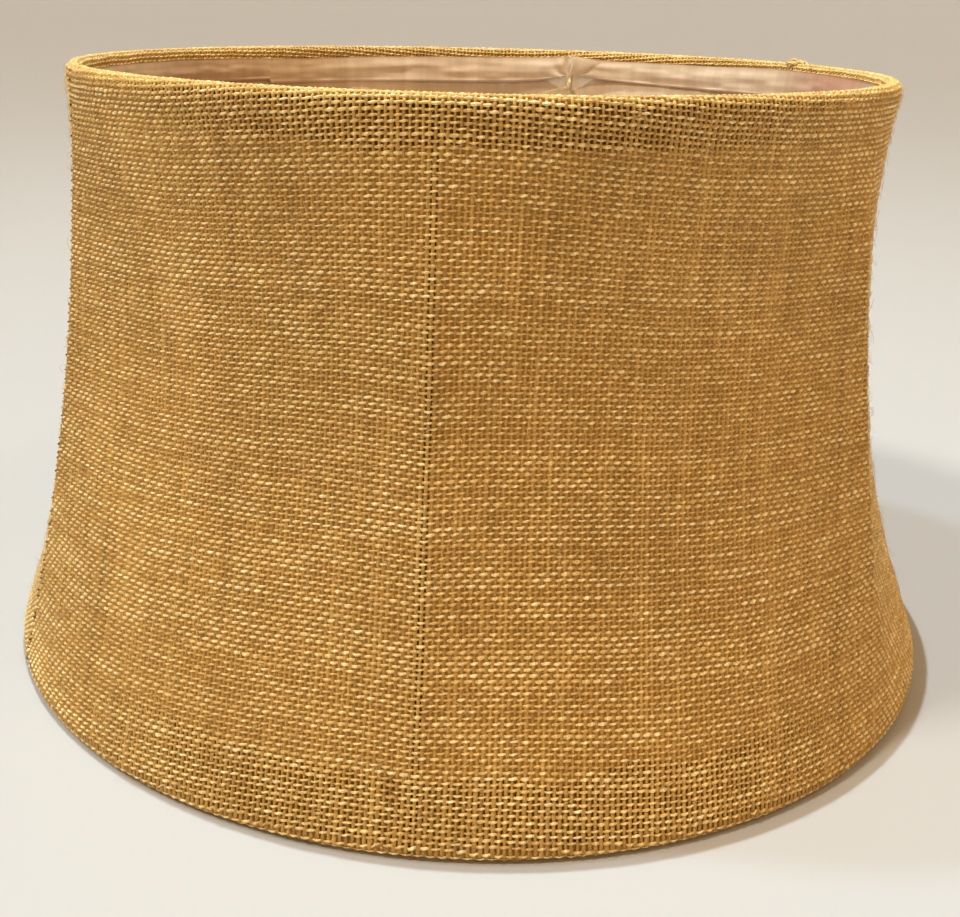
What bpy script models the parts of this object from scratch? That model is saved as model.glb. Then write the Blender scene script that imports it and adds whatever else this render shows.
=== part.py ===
"""Burlap lamp shade: a wire frame with a spider fitter, a burlap cover and a satin lining.

Metres, +Z up. The origin is the centre of the bottom rim, where the shade stands. Azimuth 0 faces -Y,
where one rib stands, and grows towards +X.
"""
import math

import bmesh
import bpy

MM = 0.001

# Overall size, measured over the cover
HEIGHT = 254 * MM
TOP_RADIUS = 181.4 * MM
BOTTOM_RADIUS = 206.8 * MM

# Wire frame
RING_WIRE_RADIUS = 2.0 * MM
RIB_WIRE_RADIUS = 1.6 * MM
RIB_COUNT = 6
RIB_SPACING = 2 * math.pi / RIB_COUNT

# Spider fitter: three arms welded inside the top ring, dropping to a washer that sits on a lamp harp
ARM_WIRE_RADIUS = 1.3 * MM
ARM_AZIMUTHS = [math.radians(degrees) for degrees in (47, 167, 287)]
SPIDER_DROP = 21.6 * MM
ARM_BEND_RADIUS = 5 * MM
HUB_RADIUS = 12.7 * MM
HUB_HOLE_RADIUS = 5.5 * MM
HUB_THICKNESS = 1.6 * MM
ARM_OVERLAP_ON_HUB = 5 * MM

# Cloth
GAP = 0.3 * MM
COVER_THICKNESS = 1.2 * MM
LINING_THICKNESS = 0.6 * MM
BAND_THICKNESS = 0.8 * MM
TURNED_EDGE = 2.5 * MM
FLAT_UNDERSIDE = 5 * MM
HEM_CORNER_IN = 0.2 * MM
HEM_CORNER_UP = 1.1 * MM
LINING_BEHIND_COVER = 0.8 * MM
LINING_CLEAR_OF_RING = 3.4 * MM
LINING_CLEAR_OF_RIB = 4.2 * MM
RING_STANDOFF_HEIGHT = 12 * MM
TOP_BAND_HEIGHT = 10 * MM
BOTTOM_BAND_HEIGHT = 13 * MM
BAND_CLEAR_OF_LINING = 0.5 * MM
TOP_BAND_RADIUS = 171.5 * MM
NEATENER_WIDTH = 21 * MM
NEATENER_HEIGHT = 11.4 * MM
FLARE = 2.1
PANEL_FLATTENING = 0.57
PANEL_FLATTENING_SHAPE = 0.85
ROUND_NEAR_RING = 4 * MM
SEAM_AZIMUTH = -RIB_SPACING

# Mesh resolution
STEPS_PER_PANEL = 10
STEPS_AROUND = RIB_COUNT * STEPS_PER_PANEL
WALL_LEVELS = 14
ARC_STEPS = 6
RIB_POINTS = 14
ARM_BEND_STEPS = 6
HUB_STEPS = 48
NEATENER_STEPS = 6
WIRE_RESOLUTION = 2

# Worked out from the values above
ROLL_RADIUS = RING_WIRE_RADIUS + GAP + COVER_THICKNESS
ROLL_INNER_RADIUS = RING_WIRE_RADIUS + GAP
TOP_RING_Z = HEIGHT - ROLL_RADIUS
BOTTOM_RING_Z = ROLL_RADIUS
RING_SPAN = TOP_RING_Z - BOTTOM_RING_Z
TOP_RING_RADIUS = TOP_RADIUS - ROLL_RADIUS
BOTTOM_RING_RADIUS = BOTTOM_RADIUS - ROLL_RADIUS

BURLAP = ((0.55, 0.36, 0.15), 0.85, 0.0)
SATIN = ((0.62, 0.44, 0.28), 0.5, 0.0)
FRAME_STEEL = ((0.55, 0.54, 0.52), 0.4, 1.0)
BRASS_PLATE = ((0.78, 0.60, 0.28), 0.3, 1.0)


def polar(radius, azimuth, z):
    """A point at a radius and azimuth, with azimuth 0 towards -Y."""
    return (radius * math.sin(azimuth), -radius * math.cos(azimuth), z)


def rib_line_radius(z):
    """Radius of the cover's outside over a rib: upright at the top ring, flaring to the bottom ring."""
    depth = (TOP_RING_Z - z) / RING_SPAN
    return TOP_RADIUS + (BOTTOM_RADIUS - TOP_RADIUS) * depth ** FLARE


def flattening(z, azimuth):
    """How much of its radius the taut cloth loses between two ribs; nothing at the rings or the ribs."""
    depth = (TOP_RING_Z - ROUND_NEAR_RING - z) / (RING_SPAN - 2 * ROUND_NEAR_RING)
    if depth <= 0 or depth >= 1:
        return 0.0
    from_middle = (azimuth % RIB_SPACING) - RIB_SPACING / 2
    chord = 1 - math.cos(RIB_SPACING / 2) / math.cos(from_middle)
    return PANEL_FLATTENING * math.sin(math.pi * depth ** PANEL_FLATTENING_SHAPE) * chord


def cover_radius(z, azimuth):
    """Radius of the cover's outside."""
    return rib_line_radius(z) * (1 - flattening(z, azimuth))


def lining_radius(z, azimuth):
    """Radius of the lining's outside: close behind the cover, but inside the rings and the ribs."""
    to_ring = min(TOP_RING_Z - z, z - BOTTOM_RING_Z)
    ring_share = math.exp(-((to_ring / RING_STANDOFF_HEIGHT) ** 2))
    behind_cover = LINING_BEHIND_COVER + (LINING_CLEAR_OF_RING - LINING_BEHIND_COVER) * ring_share
    from_rib = abs((azimuth + RIB_SPACING / 2) % RIB_SPACING - RIB_SPACING / 2)
    if from_rib < RIB_SPACING / STEPS_PER_PANEL / 2:
        behind_cover = LINING_CLEAR_OF_RIB
    return cover_radius(z, azimuth) - COVER_THICKNESS - behind_cover


def wall_levels():
    """Heights between the ring centres, closer together near the rings."""
    shares = [(1 - math.cos(math.pi * step / WALL_LEVELS)) / 2 for step in range(WALL_LEVELS + 1)]
    return [BOTTOM_RING_Z + RING_SPAN * share for share in shares]


def ring_arc(ring_radius, ring_z, radius, start, end):
    """Points (radius, z) on an arc about a ring's wire, angles in degrees, 0 pointing outwards."""
    angles = [math.radians(start + (end - start) * step / ARC_STEPS) for step in range(ARC_STEPS + 1)]
    return [(ring_radius + radius * math.cos(a), ring_z + radius * math.sin(a)) for a in angles]


def hem_outline():
    """Outside of the hem that the shade stands on, from its inner side round to its outer side."""
    offsets = [
        (ROLL_RADIUS, BOTTOM_RING_Z),
        (ROLL_RADIUS - HEM_CORNER_IN, HEM_CORNER_UP),
        (FLAT_UNDERSIDE / 2, 0),
    ]
    inner = [(BOTTOM_RING_RADIUS - offset, z) for offset, z in offsets]
    outer = [(BOTTOM_RING_RADIUS + offset, z) for offset, z in reversed(offsets)]
    return inner + outer


def make_material(name, look):
    colour, roughness, metallic = look
    material = bpy.data.materials.new(name)
    material.use_nodes = True
    shader = material.node_tree.nodes["Principled BSDF"]
    shader.inputs["Base Color"].default_value = (*colour, 1)
    shader.inputs["Roughness"].default_value = roughness
    shader.inputs["Metallic"].default_value = metallic
    return material


def add_object(name, data, look):
    piece = bpy.data.objects.new(name, data)
    piece.data.materials.append(make_material(name, look))
    bpy.context.scene.collection.objects.link(piece)
    return piece


def finish_mesh(name, bm, look):
    """Turns a bmesh into a smooth-shaded object with its faces pointing out."""
    bmesh.ops.recalc_face_normals(bm, faces=bm.faces)
    mesh = bpy.data.meshes.new(name)
    bm.to_mesh(mesh)
    bm.free()
    mesh.shade_smooth()
    mesh.set_sharp_from_angle(angle=math.radians(40))
    return add_object(name, mesh, look)


def spin_profile(profile, start, angle, steps):
    """Spins a closed outline of (radius, z) points about Z. A part turn gets its two ends filled."""
    bm = bmesh.new()
    verts = [bm.verts.new(polar(radius, start, z)) for radius, z in profile]
    edges = [bm.edges.new((vert, verts[index - 1])) for index, vert in enumerate(verts)]
    full_turn = angle >= 2 * math.pi
    swept = bmesh.ops.spin(
        bm,
        geom=verts + edges,
        cent=(0, 0, 0),
        axis=(0, 0, 1),
        angle=angle,
        steps=steps,
        use_merge=full_turn,
    )
    if not full_turn:
        last = [item for item in swept["geom_last"] if isinstance(item, bmesh.types.BMEdge)]
        bmesh.ops.contextual_create(bm, geom=edges)
        bmesh.ops.contextual_create(bm, geom=last)
    return bm


def add_wire(name, points, radius, look, cyclic=False):
    """A round wire along a line of points."""
    curve = bpy.data.curves.new(name, "CURVE")
    curve.dimensions = "3D"
    curve.bevel_depth = radius
    curve.bevel_resolution = WIRE_RESOLUTION
    curve.use_fill_caps = not cyclic
    spline = curve.splines.new("POLY")
    spline.points.add(len(points) - 1)
    for point, place in zip(spline.points, points):
        point.co = (*place, 1)
    spline.use_cyclic_u = cyclic
    spline.use_smooth = True
    return add_object(name, curve, look)


def add_ring(name, radius, z):
    azimuths = [2 * math.pi * step / STEPS_AROUND for step in range(STEPS_AROUND)]
    points = [polar(radius, azimuth, z) for azimuth in azimuths]
    return add_wire(name, points, RING_WIRE_RADIUS, FRAME_STEEL, cyclic=True)


def add_rib(index):
    """A rib bent to the shade's outline, its ends butted to the two rings."""
    azimuth = RIB_SPACING * index
    low = BOTTOM_RING_Z + RING_WIRE_RADIUS + GAP
    high = TOP_RING_Z - RING_WIRE_RADIUS - GAP
    points = []
    for step in range(RIB_POINTS):
        z = low + (high - low) * step / (RIB_POINTS - 1)
        points.append(polar(rib_line_radius(z) - ROLL_RADIUS, azimuth, z))
    return add_wire(f"rib_{index + 1}", points, RIB_WIRE_RADIUS, FRAME_STEEL)


def arm_radius():
    """Radius of the top of an arm, which is welded to the inner side of the top ring."""
    return TOP_RING_RADIUS - RING_WIRE_RADIUS - GAP - ARM_WIRE_RADIUS


def add_spider_arm(index, azimuth):
    """An arm that leaves the ring, drops with a slight lean, bends and runs level to the hub."""
    level_z = HEIGHT - SPIDER_DROP
    lean = 1.4 * MM
    bend_centre_radius = arm_radius() - lean - ARM_BEND_RADIUS
    bend_centre_z = level_z + ARM_BEND_RADIUS
    line = [
        (arm_radius(), TOP_RING_Z),
        (arm_radius() - 0.3 * lean, TOP_RING_Z - RING_WIRE_RADIUS),
        (arm_radius() - 0.7 * lean, TOP_RING_Z - 3 * RING_WIRE_RADIUS),
    ]
    for step in range(ARM_BEND_STEPS + 1):
        turn = math.pi / 2 * step / ARM_BEND_STEPS
        radius = bend_centre_radius + ARM_BEND_RADIUS * math.cos(turn)
        line.append((radius, bend_centre_z - ARM_BEND_RADIUS * math.sin(turn)))
    line.append((HUB_RADIUS - ARM_OVERLAP_ON_HUB, level_z))
    points = [polar(radius, azimuth, z) for radius, z in line]
    return add_wire(f"spider_arm_{index + 1}", points, ARM_WIRE_RADIUS, BRASS_PLATE)


def add_spider_hub():
    """The washer under the arms, with the hole for the harp's screw."""
    top = HEIGHT - SPIDER_DROP - ARM_WIRE_RADIUS - GAP
    bottom = top - HUB_THICKNESS
    profile = [
        (HUB_HOLE_RADIUS, bottom),
        (HUB_RADIUS, bottom),
        (HUB_RADIUS, top),
        (HUB_HOLE_RADIUS, top),
    ]
    bm = spin_profile(profile, 0, 2 * math.pi, HUB_STEPS)
    return finish_mesh("spider_hub", bm, BRASS_PLATE)


def cover_profile():
    """Section of the cover over a rib: a wall turned over both rings, with a flat underside."""
    levels = wall_levels()
    outer_wall = [(rib_line_radius(z), z) for z in levels[1:-1]]
    inner_wall = [(radius - COVER_THICKNESS, z) for radius, z in reversed(outer_wall)]
    top_end = TOP_RING_Z - TURNED_EDGE
    bottom_end = BOTTOM_RING_Z + TURNED_EDGE
    return (
        outer_wall
        + ring_arc(TOP_RING_RADIUS, TOP_RING_Z, ROLL_RADIUS, 0, 180)
        + [(TOP_RING_RADIUS - ROLL_RADIUS, top_end), (TOP_RING_RADIUS - ROLL_INNER_RADIUS, top_end)]
        + ring_arc(TOP_RING_RADIUS, TOP_RING_Z, ROLL_INNER_RADIUS, 180, 0)
        + inner_wall
        + ring_arc(BOTTOM_RING_RADIUS, BOTTOM_RING_Z, ROLL_INNER_RADIUS, 0, -180)
        + [
            (BOTTOM_RING_RADIUS - ROLL_INNER_RADIUS, bottom_end),
            (BOTTOM_RING_RADIUS - ROLL_RADIUS, bottom_end),
        ]
        + hem_outline()
    )


def pull_in_between_ribs(bm):
    """Flattens a spun cover between its ribs, leaving the cloth round the rings as it is."""
    for vert in bm.verts:
        clear_of_rings = BOTTOM_RING_Z + TURNED_EDGE < vert.co.z < TOP_RING_Z - TURNED_EDGE
        if clear_of_rings:
            azimuth = math.atan2(vert.co.x, -vert.co.y)
            keep = 1 - flattening(vert.co.z, azimuth)
            vert.co.x *= keep
            vert.co.y *= keep


def half_turn(side):
    """Start azimuth and angle of one half of the cloth, which stops short of its two seams."""
    margin = GAP / 2 / TOP_RADIUS
    return SEAM_AZIMUTH + side * math.pi + margin, math.pi - 2 * margin


def add_notch_cutter(index, azimuth):
    """A guide block that notches the turned edge where an arm leaves the ring."""
    inner = arm_radius() - 2 * ARM_WIRE_RADIUS
    outer = TOP_RING_RADIUS - RING_WIRE_RADIUS
    width = 2 * (ARM_WIRE_RADIUS + 2 * GAP)
    height = 2 * (ARM_WIRE_RADIUS + TURNED_EDGE)
    bm = bmesh.new()
    bmesh.ops.create_cube(bm, size=1)
    bmesh.ops.scale(bm, vec=(width, outer - inner, height), verts=bm.verts)
    mesh = bpy.data.meshes.new(f"notch_{index + 1}")
    bm.to_mesh(mesh)
    bm.free()
    cutter = bpy.data.objects.new(mesh.name, mesh)
    bpy.context.scene.collection.objects.link(cutter)
    cutter.location = polar((inner + outer) / 2, azimuth, TOP_RING_Z - TURNED_EDGE)
    cutter.rotation_euler.z = azimuth
    cutter.hide_render = True
    cutter.display_type = "WIRE"
    return cutter


def add_cover_half(name, side, cutters):
    start, angle = half_turn(side)
    bm = spin_profile(cover_profile(), start, angle, STEPS_AROUND // 2)
    pull_in_between_ribs(bm)
    cover = finish_mesh(name, bm, BURLAP)
    for cutter in cutters:
        notch = cover.modifiers.new(cutter.name, "BOOLEAN")
        notch.object = cutter
        notch.operation = "DIFFERENCE"
        notch.solver = "EXACT"
    return cover


def add_lining_half(name, side):
    """A thin wall behind the cover, which stops just clear of the two rings."""
    start, angle = half_turn(side)
    levels = wall_levels()[1:-1]
    outside = [(rib_line_radius(z), z) for z in levels]
    inside = [(radius - LINING_THICKNESS, z) for radius, z in reversed(outside)]
    bm = spin_profile(outside + inside, start, angle, STEPS_AROUND // 2)
    for vert in bm.verts:
        azimuth = math.atan2(vert.co.x, -vert.co.y)
        radius = math.hypot(vert.co.x, vert.co.y)
        behind = rib_line_radius(vert.co.z) - radius
        place = lining_radius(vert.co.z, azimuth) - behind
        vert.co.x *= place / radius
        vert.co.y *= place / radius
    return finish_mesh(name, bm, SATIN)


def add_band(name, outer_low, outer_high, z_low, z_high):
    """A strip of lining cloth that covers the lining's edge all the way round."""
    profile = [
        (outer_low - BAND_THICKNESS, z_low),
        (outer_low, z_low),
        (outer_high, z_high),
        (outer_high - BAND_THICKNESS, z_high),
    ]
    bm = spin_profile(profile, 0, 2 * math.pi, STEPS_AROUND)
    return finish_mesh(name, bm, SATIN)


def add_neatener(index, azimuth):
    """A short strip of lining cloth over the band, where an arm passes behind it."""
    outer = TOP_BAND_RADIUS - BAND_THICKNESS - GAP
    inner = outer - BAND_THICKNESS
    top = wall_levels()[-2]
    low = top - NEATENER_HEIGHT
    angle = NEATENER_WIDTH / outer
    profile = [(inner, low), (outer, low), (outer, top), (inner, top)]
    bm = spin_profile(profile, azimuth - angle / 2, angle, NEATENER_STEPS)
    finish_mesh(f"arm_neatener_{index + 1}", bm, SATIN)


def add_bands():
    lining_low, lining_high = wall_levels()[1], wall_levels()[-2]
    add_band("lining_top_band", TOP_BAND_RADIUS, TOP_BAND_RADIUS, lining_high - TOP_BAND_HEIGHT, lining_high)
    band_top = lining_low + BOTTOM_BAND_HEIGHT
    inset = COVER_THICKNESS + LINING_CLEAR_OF_RIB + LINING_THICKNESS + BAND_CLEAR_OF_LINING
    add_band(
        "lining_bottom_band",
        rib_line_radius(lining_low) - inset,
        rib_line_radius(band_top) - inset,
        lining_low,
        band_top,
    )


def main():
    for old in list(bpy.data.objects):
        bpy.data.objects.remove(old)
    add_ring("top_ring", TOP_RING_RADIUS, TOP_RING_Z)
    add_ring("bottom_ring", BOTTOM_RING_RADIUS, BOTTOM_RING_Z)
    for index in range(RIB_COUNT):
        add_rib(index)
    for index, azimuth in enumerate(ARM_AZIMUTHS):
        add_spider_arm(index, azimuth)
    add_spider_hub()
    cutters = [add_notch_cutter(index, azimuth) for index, azimuth in enumerate(ARM_AZIMUTHS)]
    add_cover_half("cover_front", 0, cutters[:1])
    add_cover_half("cover_back", 1, cutters[1:])
    add_lining_half("lining_front", 0)
    add_lining_half("lining_back", 1)
    add_bands()
    for index, azimuth in enumerate(ARM_AZIMUTHS):
        add_neatener(index, azimuth)


main()
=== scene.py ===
"""Looks of the burlap lamp shade: woven threads, satin lining, spider fitter, floor, light and camera."""

import math

import bpy
import numpy as np
from mathutils import Matrix, Vector


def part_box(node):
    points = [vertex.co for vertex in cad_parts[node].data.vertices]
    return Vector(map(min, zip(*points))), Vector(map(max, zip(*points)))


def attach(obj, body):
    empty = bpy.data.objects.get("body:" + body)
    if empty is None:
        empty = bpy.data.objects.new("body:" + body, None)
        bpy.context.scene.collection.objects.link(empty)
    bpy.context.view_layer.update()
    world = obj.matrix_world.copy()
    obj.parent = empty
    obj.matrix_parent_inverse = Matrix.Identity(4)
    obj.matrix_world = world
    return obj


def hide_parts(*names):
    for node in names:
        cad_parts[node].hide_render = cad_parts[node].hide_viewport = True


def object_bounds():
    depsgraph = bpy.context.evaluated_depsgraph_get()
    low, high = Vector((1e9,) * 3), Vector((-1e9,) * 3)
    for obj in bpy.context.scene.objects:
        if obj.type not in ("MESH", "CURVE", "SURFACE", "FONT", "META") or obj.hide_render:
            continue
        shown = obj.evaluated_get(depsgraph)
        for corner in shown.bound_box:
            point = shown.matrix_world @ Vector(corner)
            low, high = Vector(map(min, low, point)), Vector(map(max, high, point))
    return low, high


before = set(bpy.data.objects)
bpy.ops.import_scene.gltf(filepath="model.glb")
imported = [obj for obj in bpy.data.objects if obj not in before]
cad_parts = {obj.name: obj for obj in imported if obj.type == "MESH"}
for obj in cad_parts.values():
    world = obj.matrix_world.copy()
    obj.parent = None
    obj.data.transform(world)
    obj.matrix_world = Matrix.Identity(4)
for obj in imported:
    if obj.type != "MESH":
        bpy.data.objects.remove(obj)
cad_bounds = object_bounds()

MM = 0.001
TURN = 2 * math.pi

# Sizes read from the frame
HEIGHT = cad_bounds[1].z
BOTTOM_RADIUS = cad_bounds[1].x
TOP_RING_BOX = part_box("top_ring")
BOTTOM_RING_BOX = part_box("bottom_ring")
WIRE_RADIUS = (TOP_RING_BOX[1][2] - TOP_RING_BOX[0][2]) / 2
TOP_RING_RADIUS = TOP_RING_BOX[1][0] - WIRE_RADIUS
BOTTOM_RING_RADIUS = BOTTOM_RING_BOX[1][0] - WIRE_RADIUS
TOP_RING_Z = TOP_RING_BOX[1][2] - WIRE_RADIUS
BOTTOM_RING_Z = BOTTOM_RING_BOX[0][2] + WIRE_RADIUS
ROLL = HEIGHT - TOP_RING_Z
TOP_RADIUS = TOP_RING_RADIUS + ROLL
SPAN = TOP_RING_Z - BOTTOM_RING_Z

# Shape of the cover
RIB_COUNT = 6
RIB_SPACING = TURN / RIB_COUNT
FLARE = 2.1
PANEL_FLATTENING = 0.57
PANEL_FLATTENING_SHAPE = 0.85
ROUND_NEAR_RING = 4 * MM
SEAM = -RIB_SPACING

# Burlap
THREAD_PITCH = 2.07 * MM
ROW_PITCH = 2.0 * MM
ROWS = round(SPAN / ROW_PITCH)
CLOSER_ROWS_BELOW = 0.035
THREAD_LAYER = 0.8 * MM
WARP_CRIMP = 0.18 * MM
WEFT_CRIMP = 0.46 * MM
WARP_DEPTH = 0.34 * MM
WEFT_DEPTH = 0.48 * MM
WARP_HALF_WIDTH = 0.68 * MM
WEFT_HALF_WIDTH = 0.47 * MM
FLOAT_SWELL = 0.16
FLOAT_SLANT = 0.14 * MM
# Tone offsets of the yarns: painted shade makes the sunken warps darker, and painted light makes the raised
# wefts lighter
WARP_PAINTED_SHADE, WEFT_PAINTED_LIGHT = -1.9, 0.8
# Painted highlight: where a thread passes over, its tone is raised to stand for the light on its crown
WARP_PAINTED_HIGHLIGHT, WEFT_PAINTED_HIGHLIGHT = 0.3, 1.05
RIM_WARP_CRIMP = 0.42 * MM
RIM_WEFT_CRIMP = 0.22 * MM
ROW_ARCH_HEIGHT = 11 * MM
ROW_ARCH_WIDTH = 95 * MM
WEAVE_ROLL = ROLL - THREAD_LAYER
ROLLED_LENGTH = math.pi * WEAVE_ROLL
HEM_SQUARENESS = 0.4
HEM_PRESS = 0.55
EXTRA_ROWS = 13
# Cross-sections of the yarns, in half widths and depths
WARP_PROFILE = ((-1.0, -1.0), (-0.55, 0.75), (0.55, 0.75), (1.0, -1.0))
WEFT_PROFILE = ((-0.96, -0.55), (-0.78, 0.45), (0.0, 1.0), (0.78, 0.45), (0.96, -0.55))

# Stray fibres over each half, and the place of the yarn ends that stand up at the seam
FUZZ_COUNT = 3800
RIM_LOOPS_AZIMUTH = math.radians(120.0)

# Small marks on the cloth: distance round from rib 1, height, half width, half height and depth of tone
STAINS = (
    (-8.5 * MM, 22 * MM, 1.8 * MM, 3.6 * MM, 3.4),
    (-82 * MM, 28 * MM, 2.5 * MM, 3.0 * MM, 1.5),
    (172 * MM, 143 * MM, 1.2 * MM, 1.0 * MM, 5.0),
)

# Spider arms, whose azimuths come from the boxes of their wires
ARM_COUNT = 3


def arm_azimuth(index):
    """Azimuth of an arm, from the far corner of its box; every arm starts at the hub."""
    low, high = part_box(f"spider_arm_{index + 1}")
    x = high[0] if high[0] > -low[0] else low[0]
    y = high[1] if high[1] > -low[1] else low[1]
    return math.atan2(x, -y)


ARM_AZIMUTHS = [arm_azimuth(index) for index in range(ARM_COUNT)]

# Backing cloth, seen between the threads, and satin lining
BACKING_LEVEL = 0.35 * MM
TOP_STANDOFF = 2.1 * MM
BOTTOM_STANDOFF = 1.5 * MM
TOP_STANDOFF_HEIGHT = 14.5 * MM
BOTTOM_STANDOFF_HEIGHT = 21 * MM
RIB_STANDOFF = 1.0 * MM
RIB_STANDOFF_HALF_WIDTH = 1.6 * MM
SATIN_THICKNESS = 0.5 * MM
SATIN_LEVEL = 5.4 * MM
TOP_BAND_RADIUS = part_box("lining_top_band")[1][0]
ARM_PULL_REACH = 22 * MM

# Floor, in metres
FLOOR_GAP = 1.2 * MM
FLAT_FLOOR_RADIUS = 8
FLOOR_RADIUS = 60


def value_noise(x, y, seed):
    """Smooth noise from -1 to 1 over a plane, with cells one unit wide."""
    lattice = np.random.default_rng(seed).uniform(-1, 1, (257, 257))
    x, y = np.broadcast_arrays(np.asarray(x, float), np.asarray(y, float))
    column, row = np.floor(x).astype(int), np.floor(y).astype(int)
    u, v = x - column, y - row
    u, v = u * u * (3 - 2 * u), v * v * (3 - 2 * v)
    column, row = column % 256, row % 256
    low = lattice[column, row] * (1 - u) + lattice[column + 1, row] * u
    high = lattice[column, row + 1] * (1 - u) + lattice[column + 1, row + 1] * u
    return low * (1 - v) + high * v


def smoothstep(low, high, value):
    share = np.clip((value - low) / (high - low), 0, 1)
    return share * share * (3 - 2 * share)


def rib_line_radius(depth):
    return TOP_RADIUS + (BOTTOM_RADIUS - TOP_RADIUS) * depth**FLARE


def flattening(z, azimuth):
    """Share of its radius that the taut cloth loses between two ribs."""
    depth = (TOP_RING_Z - ROUND_NEAR_RING - z) / (SPAN - 2 * ROUND_NEAR_RING)
    depth = np.clip(depth, 0, 1)
    from_middle = azimuth % RIB_SPACING - RIB_SPACING / 2
    chord = 1 - math.cos(RIB_SPACING / 2) / np.cos(from_middle)
    return PANEL_FLATTENING * np.sin(math.pi * depth**PANEL_FLATTENING_SHAPE) * chord


def wall_radius(azimuth, z):
    """Outer radius of the cover's wall."""
    depth = np.clip((TOP_RING_Z - z) / SPAN, 0, 1)
    return rib_line_radius(depth) * (1 - flattening(z, azimuth))


def pressed(along):
    """How far the hem's own weight flattens the weave, from 0 on the wall to 1 under the shade."""
    return smoothstep(SPAN - 2 * MM, SPAN + 2.5 * MM, along)


def place(azimuth, along, inset=THREAD_LAYER):
    """Point on the weave. along is the distance down the wall, from 0 beside the top ring to SPAN beside the
    bottom one. Past both ends it goes on round the ring to the inside."""
    azimuth, along = np.broadcast_arrays(azimuth, along)
    inset = inset * (1 - HEM_PRESS * pressed(along))
    wall_z = TOP_RING_Z - np.clip(along, 0, SPAN)
    radius = wall_radius(azimuth, wall_z) - inset
    z = wall_z.copy()
    roll = ROLL - inset
    for beyond, ring_radius, ring_z, side, squareness in (
        (-along, TOP_RING_RADIUS, TOP_RING_Z, 1, 1.0),
        (along - SPAN, BOTTOM_RING_RADIUS, BOTTOM_RING_Z, -1, HEM_SQUARENESS),
    ):
        past = beyond > 0
        turned = np.clip(beyond / WEAVE_ROLL, 0, math.pi)
        leg = np.maximum(beyond - ROLLED_LENGTH, 0)
        outward, upward = np.cos(turned), np.sin(turned)
        outward = np.sign(outward) * np.abs(outward) ** squareness
        radius = np.where(past, ring_radius + roll * outward, radius)
        z = np.where(past, ring_z + side * (roll * upward**squareness - leg), z)
    return np.stack((radius * np.sin(azimuth), -radius * np.cos(azimuth), z), axis=-1)


def unit(vectors):
    return vectors / np.linalg.norm(vectors, axis=-1, keepdims=True)


def surface(azimuth, along):
    """Point, direction round, direction down and outward normal of the weave."""
    step = 0.2 * MM
    turn = step / BOTTOM_RADIUS
    point = place(azimuth, along)
    around = unit(place(azimuth + turn, along) - place(azimuth - turn, along))
    down = unit(place(azimuth, along + step) - place(azimuth, along - step))
    return point, around, down, unit(np.cross(down, around))


def arc_azimuths(distances, along):
    """Azimuths that lie at these distances round from a rib, at each height along the wall."""
    fine = np.linspace(-2.2 * RIB_SPACING, 2.2 * RIB_SPACING, 1057)
    rows = []
    for height in along:
        points = place(fine, np.clip(height, 0, SPAN))
        lengths = np.linalg.norm(np.diff(points, axis=0), axis=1)
        travelled = np.concatenate(([0], np.cumsum(lengths)))
        travelled -= np.interp(0, fine, travelled)
        rows.append(np.interp(distances, travelled, fine))
    return np.array(rows).T


def make_mesh(name, points, quads, material, attributes=None, uv=None):
    """A smooth mesh from arrays, with its unused points left out. uv holds each quad's corners on the map."""
    used, quads = np.unique(quads, return_inverse=True)
    quads = quads.reshape(-1, 4)
    mesh = bpy.data.meshes.new(name)
    mesh.vertices.add(len(used))
    mesh.vertices.foreach_set("co", points[used].astype(np.float32).ravel())
    mesh.loops.add(quads.size)
    mesh.loops.foreach_set("vertex_index", quads.astype(np.int32).ravel())
    mesh.polygons.add(len(quads))
    mesh.polygons.foreach_set("loop_start", np.arange(0, quads.size, 4, dtype=np.int32))
    mesh.update(calc_edges=True)
    for key, values in (attributes or {}).items():
        layer = mesh.attributes.new(key, "FLOAT", "POINT")
        layer.data.foreach_set("value", values[used].astype(np.float32).ravel())
    if uv is not None:
        layer = mesh.uv_layers.new(name="OFBake")
        layer.data.foreach_set("uv", uv.astype(np.float32).ravel())
    mesh.validate()
    mesh.shade_smooth()
    mesh.materials.append(material)
    piece = bpy.data.objects.new(name, mesh)
    bpy.context.scene.collection.objects.link(piece)
    return piece


def grid_quads(rows, columns, wrap=False):
    """Corner numbers of a grid of points, rows by columns."""
    numbers = np.arange(rows * columns).reshape(rows, columns)
    following = np.roll(numbers, -1, axis=1) if wrap else numbers[:, 1:]
    numbers = numbers if wrap else numbers[:, :-1]
    corners = (numbers[:-1], following[:-1], following[1:], numbers[1:])
    return np.stack(corners, axis=-1).reshape(-1, 4)


def grid_map(rows, columns, low=0.0, high=1.0, wrap=False):
    """Where the corners of a grid's quads lie on a map, between two heights of it."""
    across = columns if wrap else columns - 1
    row, column = np.divmod(np.arange((rows - 1) * across), across)
    u = (column[:, None] + (0, 1, 1, 0)) / across
    v = low + (high - low) * (row[:, None] + (0, 0, 1, 1)) / (rows - 1)
    return np.stack((u, v), axis=-1)


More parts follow.
